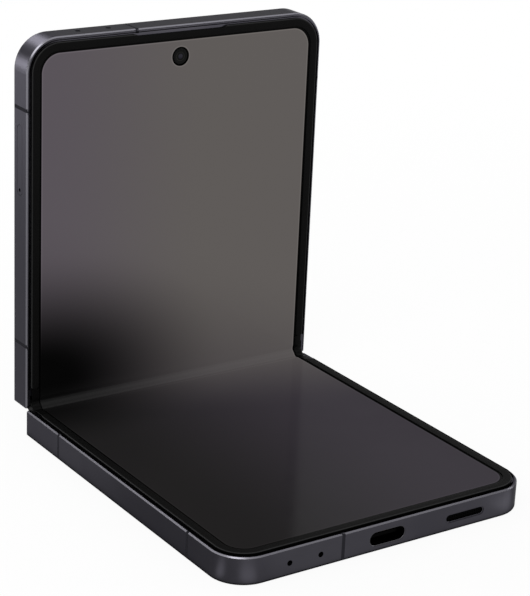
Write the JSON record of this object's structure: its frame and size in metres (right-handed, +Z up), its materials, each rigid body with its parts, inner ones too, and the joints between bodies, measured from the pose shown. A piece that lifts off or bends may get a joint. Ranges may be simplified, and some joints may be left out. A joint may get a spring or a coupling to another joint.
{
  "type": "foldable smartphone",
  "caption": "Clamshell phone with a folding inner screen, a cover screen and a geared twin-axis hinge, half open at a right angle.",
  "frame": {"origin": "centre of the lower half's back face, which the phone lies on", "axes": "+X along the hinge to the right as seen by the user, +Y from the free end of the lower half to the fold line, +Z up out of the lower half's screen"},
  "size_m": [0.0752, 0.0911, 0.0898],
  "materials": {
    "rail_metal": "bead-blasted graphite anodising",
    "spine_metal": "brushed graphite anodising",
    "antenna_polymer": "matt, a shade darker than the rail",
    "back_glass": "matt graphite coated glass",
    "cover_glass": "gloss black glass",
    "bezel": "matt black",
    "display": "gloss protective film",
    "soft_film": "soft black film",
    "battery_foil": "dark foil",
    "copper": "enamelled copper windings",
    "board": "green solder mask",
    "steel": "bare",
    "shaft_steel": "ground",
    "spring_steel": "bare spring steel",
    "gear_brass": "machined",
    "module_black": "matt",
    "lens": "polished black glass",
    "flash": "translucent diffuser",
    "flex": "amber polyimide"
  },
  "bodies": {
    "lower_half": {"lower_frame": "rail_metal", "lower_antenna_breaks": "antenna_polymer", "back_glass": "back_glass", "lower_bezel": "bezel", "display_lower": "display", "lower_battery": "battery_foil", "charging_coil": "copper", "sub_board": "board", "usb_c_socket": "steel", "loudspeaker": "module_black", "speaker_mesh": "module_black", "vibration_motor": "steel", "lower_microphones": "steel", "lower_hinge_brackets": "steel", "lower_screws": "steel", "lower_magnets": "steel"},
    "spine": {"spine_cover": "spine_metal", "hinge_center_brackets": "steel", "hinge_shafts": "shaft_steel", "friction_springs": "spring_steel", "hinge_end_caps": "bezel", "display_fold": "display", "fold_bezel_strips": "soft_film"},
    "upper_half": {"upper_frame": "rail_metal", "upper_antenna_breaks": "antenna_polymer", "cover_glass": "cover_glass", "cover_display": "display", "upper_bezel": "bezel", "display_upper": "display", "upper_battery": "battery_foil", "main_board": "board", "shield_cans": "steel", "rear_cameras": "module_black", "camera_rings": "rail_metal", "camera_lenses": "lens", "flash_led": "flash", "front_camera": "module_black", "earpiece": "module_black", "upper_microphones": "steel", "side_key_flex": "flex", "upper_hinge_brackets": "steel", "upper_screws": "steel", "upper_magnets": "steel", "rocker_pin": "steel"},
    "card_tray": {"card_tray": "rail_metal"},
    "power_key": {"power_key": "rail_metal"},
    "volume_rocker": {"volume_rocker": "rail_metal"},
    "lower_arms": {"lower_gear_arms": "steel"},
    "upper_arms": {"upper_gear_arms": "steel"},
    "lower_idlers": {"lower_idler_gears": "gear_brass"},
    "upper_idlers": {"upper_idler_gears": "gear_brass"}
  },
  "joints": [
    {"name": "spine_fold", "type": "hinge", "parent": "lower_half", "child": "spine", "pos_m": [0, 0.04083, 0.00605], "axis": [1, 0, 0], "range_deg": [-45, 45], "deforming": ["display_fold", "fold_bezel_strips"]},
    {"name": "upper_fold", "type": "hinge", "parent": "spine", "child": "upper_half", "pos_m": [0, 0.04203, 0.00725], "axis": [1, 0, 0], "range_deg": [-45, 45]},
    {"name": "lower_arm_turn", "type": "hinge", "parent": "spine", "child": "lower_arms", "pos_m": [0, 0.04073, 0.00353], "axis": [1, 0, 0], "range_deg": [-45, 45]},
    {"name": "upper_arm_turn", "type": "hinge", "parent": "spine", "child": "upper_arms", "pos_m": [0, 0.04455, 0.00734], "axis": [1, 0, 0], "range_deg": [-45, 45]},
    {"name": "lower_idler_turn", "type": "hinge", "parent": "spine", "child": "lower_idlers", "pos_m": [0, 0.04201, 0.0048], "axis": [1, 0, 0], "range_deg": [-45, 45]},
    {"name": "upper_idler_turn", "type": "hinge", "parent": "spine", "child": "upper_idlers", "pos_m": [0, 0.04328, 0.00607], "axis": [1, 0, 0], "range_deg": [-45, 45]},
    {"name": "tray_slide", "type": "slide", "parent": "upper_half", "child": "card_tray", "axis": [-1, 0, 0], "range_m": [0, 0.015]},
    {"name": "power_press", "type": "slide", "parent": "upper_half", "child": "power_key", "axis": [-1, 0, 0], "range_m": [0, 0.00025], "stiffness_N_per_m": 1500, "springref_m": -0.0002},
    {"name": "volume_rock", "type": "hinge", "parent": "upper_half", "child": "volume_rocker", "pos_m": [0.03675, 0.04518, 0.0614], "axis": [0, -1, 0], "range_deg": [-1.2, 1.2], "stiffness_Nm_per_rad": 0.3}
  ],
  "couplings": [
    {"joint": "upper_fold", "follows": "spine_fold", "ratio": 1},
    {"joint": "lower_arm_turn", "follows": "spine_fold", "ratio": -1},
    {"joint": "upper_arm_turn", "follows": "spine_fold", "ratio": 1},
    {"joint": "lower_idler_turn", "follows": "spine_fold", "ratio": 1},
    {"joint": "upper_idler_turn", "follows": "spine_fold", "ratio": -1}
  ]
}
